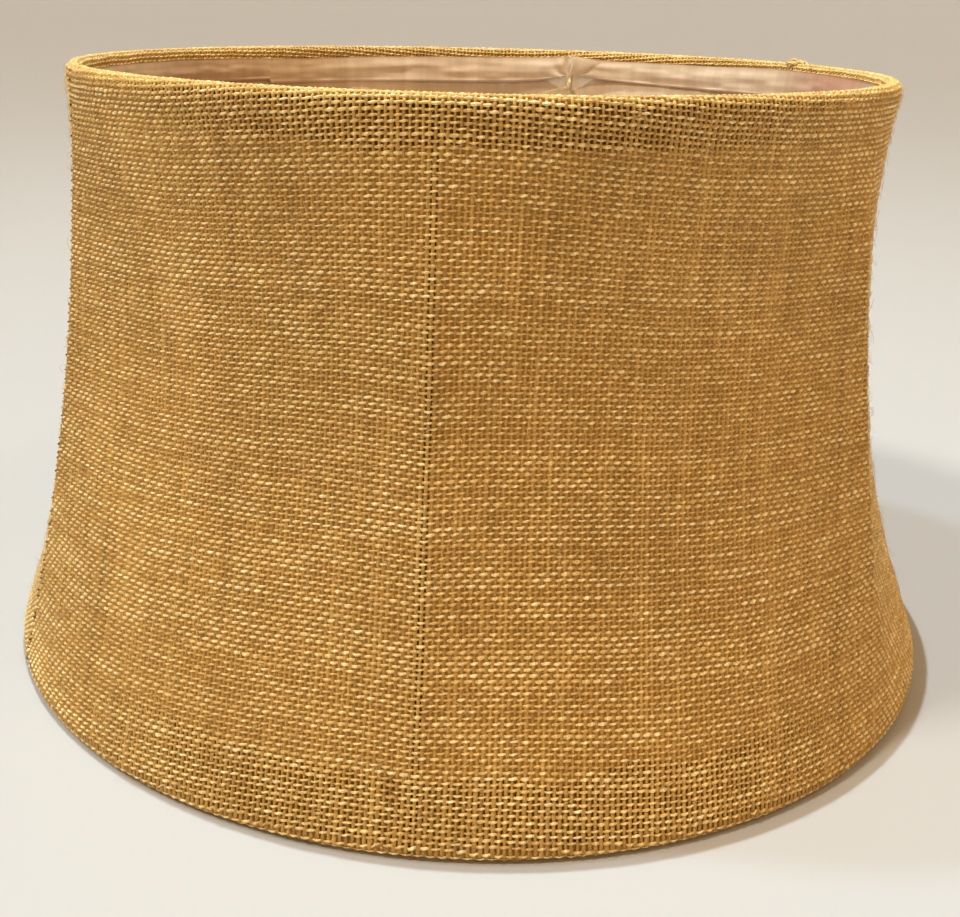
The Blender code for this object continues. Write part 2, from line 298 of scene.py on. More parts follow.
def thread_strips(name, centre, across, normal, width, depth, profile, keep, tone, material):
    """Threads as rounded strips. Arrays run thread by station; keep says which stretches are there."""
    threads, stations = centre.shape[:2]
    sides = np.array(profile)
    spread = across[:, :, None] * (sides[:, 0] * width[:, :, None])[..., None]
    raised = normal[:, :, None] * (sides[:, 1] * depth[:, :, None])[..., None]
    points = centre[:, :, None] + spread + raised
    count = len(profile)
    numbers = np.arange(threads * stations * count).reshape(threads, stations, count)
    quads = np.stack(
        (numbers[:, :-1, :-1], numbers[:, :-1, 1:], numbers[:, 1:, 1:], numbers[:, 1:, :-1]), axis=-1
    )
    quads = quads[keep].reshape(-1, 4)
    lengths = np.linalg.norm(np.diff(centre, axis=1), axis=-1)
    travelled = np.concatenate((np.zeros((threads, 1)), np.cumsum(lengths, axis=1)), axis=1)
    shape = (threads, stations, count)
    attributes = {
        "tone": np.broadcast_to(tone[:, :, None], shape),
        "along": np.broadcast_to(travelled[:, :, None], shape),
        "across": np.broadcast_to(sides[:, 0] * WARP_HALF_WIDTH, shape),
    }
    u = (np.arange(threads)[:, None, None] + 0.5 + 0.45 * sides[:, 0]) / threads
    v = np.arange(stations)[None, :, None] / (stations - 1)
    uv = np.stack(np.broadcast_arrays(u, v), axis=-1)
    flat = {key: values.reshape(-1) for key, values in attributes.items()}
    return make_mesh(name, points.reshape(-1, 3), quads, material, flat, uv.reshape(-1, 2)[quads])


def midpoints(values):
    """Values at the crossings along axis 1, with a station added halfway between each two."""
    out = np.empty((values.shape[0], values.shape[1] * 2 - 1) + values.shape[2:])
    out[:, ::2] = values
    out[:, 1::2] = (values[:, :-1] + values[:, 1:]) / 2
    return out


def row_wave(local, along):
    """How far the rows stray down the cloth. The rows of a flat cut arch up over the middle of a half."""
    arch = np.exp(-((local * TOP_RADIUS / ROW_ARCH_WIDTH) ** 2))
    quick = value_noise(local * 11 + 40, along / (45 * MM) + 7, 12)
    return (0.35 - arch) * ROW_ARCH_HEIGHT + 0.25 * quick * MM


def turned_end(azimuth, seed):
    """How far past a ring's side the cloth's raw edge lies."""
    rough = value_noise(azimuth * 9 + 50, 3, seed) + 0.4 * value_noise(azimuth * 60 + 400, 5, seed)
    return ROLLED_LENGTH + (6.5 + 1.5 * rough) * MM


def row_places(row_numbers):
    """Where the rows lie down the wall, a little closer towards the bottom."""
    share = (row_numbers + 0.5) / ROWS
    held = np.clip(share, 0, 1)
    return SPAN * (share + CLOSER_ROWS_BELOW * held * (1 - held))


def stains(azimuth, along):
    """How much darker the yarn is at a few small marks."""
    darker = 0
    for round_it, height, width, tall, depth in STAINS:
        sideways = (azimuth * BOTTOM_RADIUS - round_it) / width
        darker = darker + depth * np.exp(-(sideways**2) - ((TOP_RING_Z - along - height) / tall) ** 2)
    return darker


def weave_half(name, reference, seed, material):
    """The threads of one half of the cover. Threads are counted from the rib at reference."""
    rng = np.random.default_rng(seed)
    row_numbers = np.arange(-EXTRA_ROWS, ROWS + EXTRA_ROWS)
    along = row_places(row_numbers)
    reach = 2 * RIB_SPACING * BOTTOM_RADIUS
    first, last = -math.ceil(reach / 2 / THREAD_PITCH), math.ceil(reach / THREAD_PITCH)
    thread_numbers = np.arange(first, last + 1)
    local = arc_azimuths(thread_numbers * THREAD_PITCH, along)
    sway = value_noise(thread_numbers[:, None] / 2.0 + 60, along / (16 * MM) + 9, seed + 1)
    local = local + 0.16 * MM * sway / TOP_RADIUS
    azimuth = local + reference
    spread = rng.normal(0, 0.05 * MM, (1, len(along))) + np.zeros(azimuth.shape)
    height = along + row_wave(local, along) + spread
    height = height + 0.14 * MM * value_noise(azimuth * 70 + 500, row_numbers / 1.3 + 20, seed + 2)
    inside = (local > -RIB_SPACING) & (local < 2 * RIB_SPACING)
    inside &= (height > -turned_end(azimuth, 21)) & (height < SPAN + turned_end(azimuth, 22))

    uneven = rng.normal(size=(4, *azimuth.shape))
    height = height + 0.07 * MM * uneven[0]
    over = np.where((thread_numbers[:, None] + row_numbers) % 2 == 0, 1.0, -1.0)
    slub = value_noise(thread_numbers[:, None] + 30.0, along / (14 * MM) + 5, seed + 3)
    warp_width = WARP_HALF_WIDTH * (1 + 0.10 * rng.normal(size=(len(thread_numbers), 1)) + 0.16 * slub)
    slub = value_noise(azimuth * 22 + 300, row_numbers + 30.0, seed + 4)
    thickness = np.clip(rng.normal(size=(1, len(along))), -1.5, 2.5)
    weft_width = WEFT_HALF_WIDTH * (1 + 0.10 * thickness + 0.24 * slub)
    open_weave = 1 - smoothstep(TOP_STANDOFF_HEIGHT - 3 * MM, TOP_STANDOFF_HEIGHT + 2 * MM, height)
    warp_width = warp_width * (1 + 0.5 * FLOAT_SWELL * over) * (1 - 0.2 * open_weave)
    weft_width = weft_width * (1 - FLOAT_SWELL * over) * (1 + 0.10 * np.clip(uneven[1], -2, 1.5))
    # The warps' base tone is painted shade; the wefts' base tone is painted light
    warp_tone = WARP_PAINTED_SHADE + rng.normal(0, 0.35, (len(thread_numbers), 1)) + 0.9 * value_noise(
        thread_numbers[:, None] + 10.0, along / (16 * MM) + 3, seed + 5
    )
    weft_tone = WEFT_PAINTED_LIGHT + rng.normal(0, 0.35, (1, len(along))) + 1.1 * value_noise(
        azimuth * 24 + 200, row_numbers + 10.0, seed + 6
    )
    weft_tone = weft_tone + 0.45 * np.clip(uneven[2], -2, 1.6)
    soiled = stains(azimuth, height)
    warp_tone, weft_tone = warp_tone - soiled, weft_tone - soiled

    pieces = []
    for index, threads in enumerate(np.array_split(np.flatnonzero(inside.any(axis=1)), 3)):
        values = (azimuth, height, warp_width, warp_tone, over)
        stations = [midpoints(v[threads]) for v in values]
        pieces.append(lay_threads(f"{name}_warp_{index + 1}", stations, inside[threads], False, material))
    for index, rows in enumerate(np.array_split(np.arange(len(along)), 4)):
        values = (azimuth, height, weft_width, weft_tone, 0.2 * uneven[3] - over)
        stations = [midpoints(v[:, rows].T) for v in values]
        stations[1][:, 1::2] -= FLOAT_SLANT * -over[:-1, rows].T
        kept = inside[:, rows].T
        pieces.append(lay_threads(f"{name}_weft_{index + 1}", stations, kept, True, material))
    return pieces


def lay_threads(name, stations, kept, level, material):
    """Threads through their crossings, over and under the others. Over the top ring the warps stand out, and
    there they carry a painted highlight for the light from above.
    """
    azimuth, height, width, tone, over = stations
    point, around, down, normal = surface(azimuth, height)
    at_rim = 1 - smoothstep(-0.5 * MM, 2.5 * MM, height)
    if level:
        depth, profile = WEFT_DEPTH, WEFT_PROFILE
        crimp = WEFT_CRIMP + (RIM_WEFT_CRIMP - WEFT_CRIMP) * at_rim
        # Painted highlight on the crowns of the raised weft floats
        tone = tone + WEFT_PAINTED_HIGHLIGHT * over
    else:
        depth, profile = WARP_DEPTH, WARP_PROFILE
        crimp = WARP_CRIMP + (RIM_WARP_CRIMP - WARP_CRIMP) * at_rim
        # Painted highlight: over the top ring and down its inside, the warps are painted lighter for the
        # light falling from above
        tone = tone + WARP_PAINTED_HIGHLIGHT * over + 1.7 * at_rim
    relief = 1 - HEM_PRESS * pressed(height)
    depth = depth * relief
    centre = point + normal * (crimp * relief * over)[..., None]
    across = down if level else -around
    stretch = kept[:, :-1] & kept[:, 1:]
    keep = np.repeat(stretch, 2, axis=1)
    return thread_strips(name, centre, across, normal, width, depth, profile, keep, tone, material)


def new_material(name):
    material = bpy.data.materials.new(name)
    material.use_nodes = True
    tree = material.node_tree
    return material, tree, tree.nodes["Principled BSDF"]


def node(tree, kind, **settings):
    made = tree.nodes.new(kind)
    for key, value in settings.items():
        setattr(made, key, value)
    return made


def ramp(tree, source, stops):
    """A colour ramp of (position, linear colour) stops."""
    made = tree.nodes.new("ShaderNodeValToRGB")
    elements = made.color_ramp.elements
    while len(elements) < len(stops):
        elements.new(0.5)
    for element, (position, colour) in zip(elements, stops):
        element.position = position
        element.color = (*colour, 1)
    tree.links.new(source, made.inputs[0])
    return made.outputs["Color"]


def blend_colours(tree, mode, factor, first, second):
    made = node(tree, "ShaderNodeMix", data_type="RGBA", blend_type=mode)
    for socket, value in ((made.inputs[0], factor), (made.inputs[6], first), (made.inputs[7], second)):
        if isinstance(value, bpy.types.NodeSocket):
            tree.links.new(value, socket)
        elif isinstance(value, tuple):
            socket.default_value = (*value, 1)
        else:
            socket.default_value = value
    return made.outputs[2]


def maths(tree, operation, *values):
    made = node(tree, "ShaderNodeMath", operation=operation)
    for socket, value in zip(made.inputs, values):
        if isinstance(value, bpy.types.NodeSocket):
            tree.links.new(value, socket)
        else:
            socket.default_value = value
    return made.outputs[0]


def attribute(tree, name):
    return node(tree, "ShaderNodeAttribute", attribute_name=name).outputs["Fac"]


def noise(tree, scale, detail=2.0, vector=None, roughness=0.5):
    made = tree.nodes.new("ShaderNodeTexNoise")
    made.inputs["Scale"].default_value = scale
    made.inputs["Detail"].default_value = detail
    made.inputs["Roughness"].default_value = roughness
    if vector is None:
        vector = tree.nodes.new("ShaderNodeTexCoord").outputs["Object"]
    tree.links.new(vector, made.inputs["Vector"])
    return made.outputs["Fac"]


def bump(tree, shader, height, strength, distance):
    made = tree.nodes.new("ShaderNodeBump")
    made.inputs["Strength"].default_value = strength
    made.inputs["Distance"].default_value = distance
    tree.links.new(height, made.inputs["Height"])
    tree.links.new(made.outputs["Normal"], shader.inputs["Normal"])


def burlap_material():
    """Jute yarn: its own tone on each thread, twisted fibres, and slow changes over the cloth. The tone also
    carries painted shade on the warps, painted highlights on the raised wefts, and a painted highlight on the
    warps over the top ring.
    """
    material, tree, shader = new_material("burlap")
    tone = maths(tree, "MULTIPLY_ADD", attribute(tree, "tone"), 0.14, 0.5)
    yarn = ramp(
        tree,
        tone,
        (
            (0.0, (0.33, 0.178, 0.038)),
            (0.35, (0.52, 0.307, 0.083)),
            (0.6, (0.72, 0.475, 0.166)),
            (0.8, (0.90, 0.685, 0.335)),
            (1.0, (1.0, 0.88, 0.58)),
        ),
    )
    place_on_yarn = tree.nodes.new("ShaderNodeCombineXYZ")
    along, across = attribute(tree, "along"), attribute(tree, "across")
    twisted = maths(tree, "MULTIPLY_ADD", along, 0.45, across)
    tree.links.new(maths(tree, "MULTIPLY", twisted, 3600.0), place_on_yarn.inputs[0])
    tree.links.new(maths(tree, "MULTIPLY", along, 420.0), place_on_yarn.inputs[1])
    tree.links.new(attribute(tree, "tone"), place_on_yarn.inputs[2])
    fibre = noise(tree, 1.0, 2.0, place_on_yarn.outputs[0])
    fibre_tone = ramp(tree, fibre, ((0.3, (0.72, 0.70, 0.66)), (0.7, (1.18, 1.18, 1.16))))
    colour = blend_colours(tree, "MULTIPLY", 1.0, yarn, fibre_tone)
    patches = ramp(tree, noise(tree, 14.0, 3.0), ((0.35, (0.92, 0.90, 0.86)), (0.65, (1.06, 1.06, 1.05))))
    colour = blend_colours(tree, "MULTIPLY", 1.0, colour, patches)
    mottle = ramp(tree, noise(tree, 1100.0, 2.0), ((0.35, (0.80, 0.78, 0.74)), (0.65, (1.20, 1.20, 1.20))))
    colour = blend_colours(tree, "MULTIPLY", 1.0, colour, mottle)
    tree.links.new(colour, shader.inputs["Base Color"])
    shader.inputs["Roughness"].default_value = 0.55
    shader.inputs["Sheen Weight"].default_value = 0.05
    shader.inputs["Sheen Roughness"].default_value = 0.45
    shader.inputs["Sheen Tint"].default_value = (1.0, 0.95, 0.82, 1)
    shader.inputs["Specular IOR Level"].default_value = 0.4
    bump(tree, shader, fibre, 0.5, 0.12 * MM)
    return material


def fibre_material():
    """Loose jute fibres, paler than the yarn."""
    material, tree, shader = new_material("jute_fibre")
    colour = ramp(tree, noise(tree, 300.0, 2.0), ((0.35, (0.55, 0.33, 0.11)), (0.65, (0.85, 0.60, 0.27))))
    tree.links.new(colour, shader.inputs["Base Color"])
    shader.inputs["Roughness"].default_value = 0.6
    return material


def backing_material():
    """Tan cloth behind the weave, coloured like the jute and kept dark brown: partly the cloth's own colour,
    partly painted shade in the gaps between the threads.
    """
    material, tree, shader = new_material("backing")
    # Dark brown: the cloth's own tan darkened by painted shade for the gaps between the threads
    colour = ramp(tree, noise(tree, 900.0, 3.0), ((0.3, (0.29, 0.145, 0.026)), (0.7, (0.42, 0.235, 0.058))))
    tree.links.new(colour, shader.inputs["Base Color"])
    shader.inputs["Roughness"].default_value = 0.9
    return material


def satin_material():
    """Beige satin with fine upright streaks and a soft sheen, with painted shade making it darker and browner
    at one side and a painted red reflection making it pinker at the other.
    """
    material, tree, shader = new_material("satin")
    position = tree.nodes.new("ShaderNodeTexCoord").outputs["Object"]
    colour = ramp(tree, noise(tree, 9.0, 3.0), ((0.3, (0.63, 0.445, 0.31)), (0.7, (0.74, 0.575, 0.42))))
    split = tree.nodes.new("ShaderNodeSeparateXYZ")
    tree.links.new(position, split.inputs[0])
    sideways = maths(tree, "MULTIPLY_ADD", split.outputs["X"], 2.5, 0.5)
    sideways = maths(tree, "MULTIPLY_ADD", split.outputs["Y"], 0.6, sideways)
    # Painted shade and painted reflection by position: darker and browner towards -X, pinker towards +X
    painted_shade_and_reflection = ramp(
        tree,
        sideways,
        (
            (0.10, (0.72, 0.56, 0.38)),
            (0.30, (0.80, 0.66, 0.48)),
            (0.46, (1.0, 1.0, 1.0)),
            (0.922, (1.0, 1.0, 1.0)),
            (0.946, (0.76, 0.45, 0.38)),
        ),
    )
    colour = blend_colours(tree, "MULTIPLY", 1.0, colour, painted_shade_and_reflection)
    stretched = node(tree, "ShaderNodeVectorMath", operation="MULTIPLY")
    tree.links.new(position, stretched.inputs[0])
    stretched.inputs[1].default_value = (1.0, 1.0, 0.05)
    streaks = noise(tree, 150.0, 3.0, stretched.outputs[0])
    streak_tone = ramp(tree, streaks, ((0.3, (0.88, 0.85, 0.82)), (0.7, (1.08, 1.09, 1.10))))
    colour = blend_colours(tree, "MULTIPLY", 1.0, colour, streak_tone)
    fine = noise(tree, 1900.0, 1.0)
    grain = ramp(tree, fine, ((0.35, (0.95, 0.95, 0.95)), (0.65, (1.04, 1.04, 1.04))))
    colour = blend_colours(tree, "MULTIPLY", 1.0, colour, grain)
    tree.links.new(colour, shader.inputs["Base Color"])
    shader.inputs["Roughness"].default_value = 0.42
    shader.inputs["Sheen Weight"].default_value = 0.2
    shader.inputs["Sheen Tint"].default_value = (1.0, 0.88, 0.76, 1)
    bump(tree, shader, fine, 0.25, 0.05 * MM)
    return material


def wire_material(name, dark, bright, roughness):
    """Drawn wire with tarnish in patches."""
    material, tree, shader = new_material(name)
    colour = ramp(tree, noise(tree, 160.0, 4.0), ((0.35, dark), (0.65, bright)))
    tree.links.new(colour, shader.inputs["Base Color"])
    shader.inputs["Metallic"].default_value = 1.0
    shader.inputs["Roughness"].default_value = roughness
    bump(tree, shader, noise(tree, 900.0, 2.0), 0.2, 0.05 * MM)
    return material


def floor_material():
    material, _, shader = new_material("floor")
    shader.inputs["Base Color"].default_value = (0.480, 0.458, 0.468, 1)
    shader.inputs["Roughness"].default_value = 0.35
    return material


def half_grid(start, columns, rows, top, bottom):
    """Azimuths and distances down the wall of a grid over one half of the shade, short of its seams."""
    margin = 0.3 * MM / TOP_RADIUS
    azimuth = start + np.linspace(margin, math.pi - margin, columns)[None, :]
    return azimuth, np.linspace(top, bottom, rows)[:, None]


def distance_to_rib(azimuth):
    return np.abs((azimuth + RIB_SPACING / 2) % RIB_SPACING - RIB_SPACING / 2) * TOP_RADIUS


def half_width(along):
    """Length round one half of the shade."""
    points = place(np.linspace(0, math.pi, 361), along)
    return float(np.linalg.norm(np.diff(points, axis=0), axis=1).sum())


def half_area():
    """Area of one half of the wall, by Simpson's rule."""
    return (half_width(0.0) + 4 * half_width(SPAN / 2) + half_width(SPAN)) / 6 * SPAN


def backing_inset(azimuth, along):
    """Depth of the backing: against the threads in the panels, and off them by the rings and the ribs."""
    top_edge = TOP_STANDOFF_HEIGHT + 1.8 * MM * value_noise(azimuth * 8 + 50, 1, 31)
    bottom_edge = SPAN - BOTTOM_STANDOFF_HEIGHT + 2.5 * MM * value_noise(azimuth * 8 + 50, 2, 32)
    blend = 1.0 * MM
    by_top = smoothstep(-blend, blend, along) * (1 - smoothstep(top_edge - blend, top_edge + blend, along))
    by_bottom = smoothstep(bottom_edge - blend, bottom_edge + blend, along)
    by_bottom = by_bottom * (1 - smoothstep(SPAN - blend, SPAN + blend, along))
    by_ring = TOP_STANDOFF * by_top + BOTTOM_STANDOFF * by_bottom
    edge = RIB_STANDOFF_HALF_WIDTH
    looseness = 0.35 + 0.65 * np.exp(-((azimuth / 0.3) ** 2))
    by_rib = looseness * (1 - smoothstep(edge, edge + blend, distance_to_rib(azimuth)))
    return THREAD_LAYER + BACKING_LEVEL + np.maximum(by_ring, RIB_STANDOFF * by_rib)


def backing_half(name, start, material):
    """The cloth seen between the threads."""
    columns, rows = 481, 201
    past = ROLLED_LENGTH + 5 * MM
    azimuth, along = half_grid(start, columns, rows, -past, SPAN + past)
    points = place(azimuth, along, backing_inset(azimuth, along)).reshape(-1, 3)
    quads, corners = grid_quads(rows, columns), grid_map(rows, columns)
    return make_mesh(name, points, quads[:, ::-1], material, uv=corners[:, ::-1])


def closed_sheet(name, outside, inside, material, wrap=False):
    """A sheet with thickness from two grids of points, rows by columns, joined round their edges."""
    rows, columns = outside.shape[:2]
    total = rows * columns
    quads = grid_quads(rows, columns, wrap)
    numbers = np.arange(total).reshape(rows, columns)
    if wrap:
        rims = [(numbers[0], np.roll(numbers[0], -1)), (np.roll(numbers[-1], -1), numbers[-1])]
    else:
        rim = np.concatenate((numbers[0], numbers[1:, -1], numbers[-1, -2::-1], numbers[-2:0:-1, 0]))
        rims = [(rim, np.roll(rim, -1))]
    edges = np.concatenate([np.stack((a, a + total, b + total, b), axis=-1) for a, b in rims])
    points = np.concatenate((outside.reshape(-1, 3), inside.reshape(-1, 3)))
    quads = np.concatenate((quads[:, ::-1], quads + total, edges))
    outside_map = grid_map(rows, columns, 0.0, 0.49, wrap)[:, ::-1]
    inside_map = grid_map(rows, columns, 0.51, 1.0, wrap)
    corners = np.concatenate((outside_map, inside_map, np.full((len(edges), 4, 2), 0.49)))
    return make_mesh(name, points, quads, material, uv=corners)


def lining_half(name, start, material):
    """Satin stretched inside the ribs, with soft upright creases between them."""
    columns, rows = 361, 61
    azimuth, along = half_grid(start, columns, rows, 6 * MM, SPAN - 1.5 * MM)
    slack = smoothstep(4 * MM, 40 * MM, distance_to_rib(azimuth))
    upright = value_noise(azimuth * 26 + 90, along / (70 * MM) + 4, 33)
    broad = value_noise(azimuth * 7 + 90, along / (50 * MM) + 4, 34)
    crease = (0.5 * np.abs(upright) + 0.5 * broad) * slack * MM
    level = SATIN_LEVEL - 1.2 * MM * slack
    outside = place(azimuth, along, level + crease)
    inside = place(azimuth, along, level + SATIN_THICKNESS + crease)
    return closed_sheet(name, outside, inside, material)


def nearest_arm(azimuth):
    """Angle from the nearest spider arm, and how near it is, from 0 to 1."""
    apart = np.stack([(azimuth - arm + math.pi) % TURN - math.pi for arm in ARM_AZIMUTHS])
    nearest = np.take_along_axis(apart, np.abs(apart).argmin(axis=0)[None], axis=0)[0]
    return nearest, np.exp(-((nearest * TOP_RADIUS / (14 * MM)) ** 2))


def cylinder_points(azimuth, radius, z):
    azimuth, radius, z = np.broadcast_arrays(azimuth, radius, z)
    return np.stack((radius * np.sin(azimuth), -radius * np.cos(azimuth), z), axis=-1)


def ring_noise(azimuth, cells, y, seed):
    """Noise round a full ring that meets itself, with this many cells."""
    place_on_ring = (azimuth % TURN) * cells / TURN
    join = smoothstep(cells - 1, cells, place_on_ring)
    before, after = value_noise(place_on_ring, y, seed), value_noise(place_on_ring - cells, y, seed)
    return before * (1 - join) + after * join


def band_shape(azimuth):
    """Distance from the nearest arm, upper and lower edges and outer radius of the satin strip. The strip
    dips inside the arms and is pulled up at them."""
    offset, near_arm = nearest_arm(azimuth)
    sideways = offset * TOP_RADIUS
    pulled = np.exp(-np.abs(sideways) / ARM_PULL_REACH)
    below_upper = 5.7 - 1.4 * np.sin(azimuth) + 0.9 * ring_noise(azimuth, 23, 1, 41) - 1.4 * near_arm
    below_lower = 19.4 + 0.7 * ring_noise(azimuth, 11, 2, 42) - 4.8 * pulled
    below_lower = below_lower + 1.1 * np.tanh(sideways / (15 * MM))
    gap = TOP_RING_RADIUS - ROLL - 0.5 * MM - TOP_BAND_RADIUS
    outer = TOP_BAND_RADIUS + gap * (1 - near_arm)
    return sideways, HEIGHT - below_upper * MM, HEIGHT - below_lower * MM, outer


def top_band(name, material):
    """The satin strip over the turned burlap, wrinkled, folded at its lower edge and pleated at the arms."""
    columns, rows = 1260, 36
    azimuth = np.linspace(0, TURN, columns, endpoint=False)[None, :]
    down = np.linspace(0, 1, rows)[:, None]
    sideways, upper, lower, outer = band_shape(azimuth)
    z = upper + (lower - upper) * down
    fold = ring_noise(azimuth, 31, down * 3.4 + 5, 43) + 0.5 * ring_noise(azimuth, 97, down * 5, 44)
    up = z - lower + 1.5 * MM
    away = np.hypot(sideways, up)
    strength = np.exp(-away / (17 * MM)) * smoothstep(1 * MM, 5 * MM, away)
    pleats = np.sin(9 * np.arctan2(up, sideways) + 2.5 * ring_noise(azimuth, 61, down, 45)) * strength
    crease = -1.6 * np.exp(-(((sideways - 2.8 * MM) / (1.6 * MM)) ** 2))
    belly = smoothstep(0, 0.45, down) * (1 - 0.5 * smoothstep(0.95, 1, down))
    hem = np.exp(-(((down - 0.93) / 0.05) ** 2))
    calm = np.exp(-np.abs(sideways) / ARM_PULL_REACH)
    inward = (1.0 + 0.5 * fold * (1 - calm) + crease) * belly + 0.2 * hem + 0.7 * pleats * (1 - hem)
    outside = cylinder_points(azimuth, outer, z)
    inside = cylinder_points(azimuth, outer - (0.7 + np.maximum(inward, -0.5)) * MM, z)
    return closed_sheet(name, outside, inside, material, wrap=True)


def bottom_band(name, material):
    """The plain strip over the lining's lower edge."""
    columns, rows = 720, 14
    azimuth = np.linspace(0, TURN, columns, endpoint=False)[None, :]
    down = np.linspace(0, 1, rows)[:, None]
    low, high = (corner[2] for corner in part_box(name))
    along = TOP_RING_Z - (high + (low - high) * down)
    fold = value_noise(azimuth * 30, down * 3, 51) * np.sin(math.pi * down)
    inset = SATIN_LEVEL + SATIN_THICKNESS + 0.5 * MM + 0.3 * MM * fold
    outside = place(azimuth, along, inset)
    inside = place(azimuth, along, inset + 0.7 * MM)
    return closed_sheet(f"{name}_satin", outside, inside, material, wrap=True)


def neatener(name, arm, material):
    """A puffed flap of satin beside an arm, rolled at the arm and running out into the band."""
    columns, rows = 73, 37
    side = np.linspace(0, 1, columns)[None, :]
    down = np.linspace(0, 1, rows)[:, None]
    lean = 2.2 * MM * (1 - down) - 0.6 * MM
    azimuth = arm - (side * 21 * MM * (1 - 0.2 * (2 * down - 1) ** 2) + lean - 1.5 * MM) / TOP_RADIUS
    _, upper, lower, outer = band_shape(azimuth)
    top = upper + 0.6 * MM * (1 - side) - 0.4 * MM * side
    bottom = lower - 0.5 * MM * (1 - side) + 0.6 * MM * side
    z = top - (top - bottom) * down
    roll = smoothstep(-0.03, 0.16, side)
    puff = roll * (1 - side**1.5) * np.sin(math.pi * np.clip(0.10 + 0.84 * down, 0, 1)) ** 0.5
    swirl = np.sin(8 * side + 4 * down + 1.5) * side * (1 - side)
    dent = np.exp(-(((side - 0.72) / 0.10) ** 2) - ((down - 0.60) / 0.16) ** 2)
    rise = 0.2 + 2.2 * puff + 0.7 * swirl - 0.8 * dent
    outside = cylinder_points(azimuth, outer - 0.4 * MM, z)
    inside = cylinder_points(azimuth, outer - (0.6 + np.maximum(rise, 0)) * MM, z)
    return closed_sheet(f"{name}_satin", inside[:, ::-1], outside[:, ::-1], material)


def tubes(name, centre, radius, sides, material):
    """Round strands. centre runs strand by station."""
    strands, stations = centre.shape[:2]
    tangent = unit(np.gradient(centre, axis=1))
    outward = unit(centre * (1, 1, 0))
    first = unit(np.cross(tangent, outward + 1e-6))
    second = np.cross(tangent, first)
    angle = np.linspace(0, TURN, sides, endpoint=False)
    spin = first[:, :, None] * np.cos(angle)[:, None] + second[:, :, None] * np.sin(angle)[:, None]
    points = centre[:, :, None] + spin * np.broadcast_to(radius, centre.shape[:2])[:, :, None, None]
    numbers = np.arange(strands * stations * sides).reshape(strands, stations, sides)
    following = np.roll(numbers, -1, axis=2)
    quads = np.stack((numbers[:, :-1], following[:, :-1], following[:, 1:], numbers[:, 1:]), axis=-1)
    u = (np.arange(strands)[:, None, None] + 0.1 + 0.8 * np.arange(sides) / sides) / strands
    v = np.arange(stations)[None, :, None] / (stations - 1)
    uv = np.stack(np.broadcast_arrays(u, v), axis=-1).reshape(-1, 2)
    quads = quads.reshape(-1, 4)
    return make_mesh(name, points.reshape(-1, 3), quads, material, uv=uv[quads])


def fuzz_half(name, start, seed, material):
    """Stray jute fibres lying over one half of the cover."""
    rng = np.random.default_rng(seed)
    count, stations = FUZZ_COUNT, 8
    azimuth = start + rng.uniform(0.02, math.pi - 0.02, (count, 1))
    along = rng.uniform(1 * MM, SPAN, (count, 1))
    length = rng.uniform(2.0, 8.0, (count, 1)) * MM
    heading = rng.uniform(0, TURN, (count, 1)) + rng.normal(0, 1.4, (count, 1)) * np.linspace(0, 1, stations)
    lift = np.minimum(rng.exponential(0.55, (count, 1)), 3.0) * MM
    end = rng.uniform(0.5, 1.0, (count, 1))
    step = length / (stations - 1)
    around, down = np.cumsum(np.cos(heading), axis=1) * step, np.cumsum(np.sin(heading), axis=1) * step
    rise = lift * np.sin(math.pi * end * np.linspace(0, 1, stations))
    centre = place(azimuth + around / TOP_RADIUS, along + down, THREAD_LAYER - 0.95 * MM - rise)
    radius = rng.uniform(0.04, 0.11, (count, 1)) * MM * np.linspace(1, 0.5, stations)
    return tubes(name, centre, radius, 3, material)


def rim_loops(name, azimuth, material):
    """Raw yarn ends standing up in loops where the seam crosses the top rim."""
    rng = np.random.default_rng(300)
    count, stations = 14, 18
    share = np.linspace(0, 1, stations)
    width = rng.uniform(4.0, 10.0, (count, 1)) * MM
    centre = rng.normal(0, 2.4, (count, 1)) * MM
    rise = rng.uniform(0.7, 2.1, (count, 1)) * MM * np.exp(-((centre / (6 * MM)) ** 2))
    turned = rng.uniform(-0.6, 0.9, (count, 1)) + rng.normal(0, 0.5, (count, 1)) * (share - 0.5)
    distance = ROLL - 0.3 * MM + rise * np.sin(math.pi * share) ** 0.8
    swing = azimuth + (centre + width * (share - 0.5)) / TOP_RADIUS
    radius = TOP_RING_RADIUS - distance * np.sin(turned)
    z = TOP_RING_Z + distance * np.cos(turned)
    thickness = rng.uniform(0.40, 0.70, (count, 1)) * MM * (0.8 + 0.2 * np.sin(math.pi * share))
    return tubes(name, cylinder_points(swing, radius, z), thickness, 6, material)


def add_sun(name, source, spread, strength, colour):
    """Light from far off in the direction of source, its softness set by the angle it spreads over."""
    data = bpy.data.lights.new(name, "SUN")
    data.angle = math.radians(spread)
    data.energy = strength
    data.color = colour
    light = bpy.data.objects.new(name, data)
    light.rotation_euler = Vector(source).to_track_quat("Z", "Y").to_euler()
    bpy.context.scene.collection.objects.link(light)


def add_ceiling_lamp(location, power, colour):
    """A small lamp over the shade, which draws the thin sharp shadow round its hem."""
    data = bpy.data.lights.new("ceiling_lamp", "POINT")
    data.energy = power
    data.color = colour
    data.shadow_soft_size = 0.006
    lamp = bpy.data.objects.new("ceiling_lamp", data)
    lamp.location = location
    bpy.context.scene.collection.objects.link(lamp)


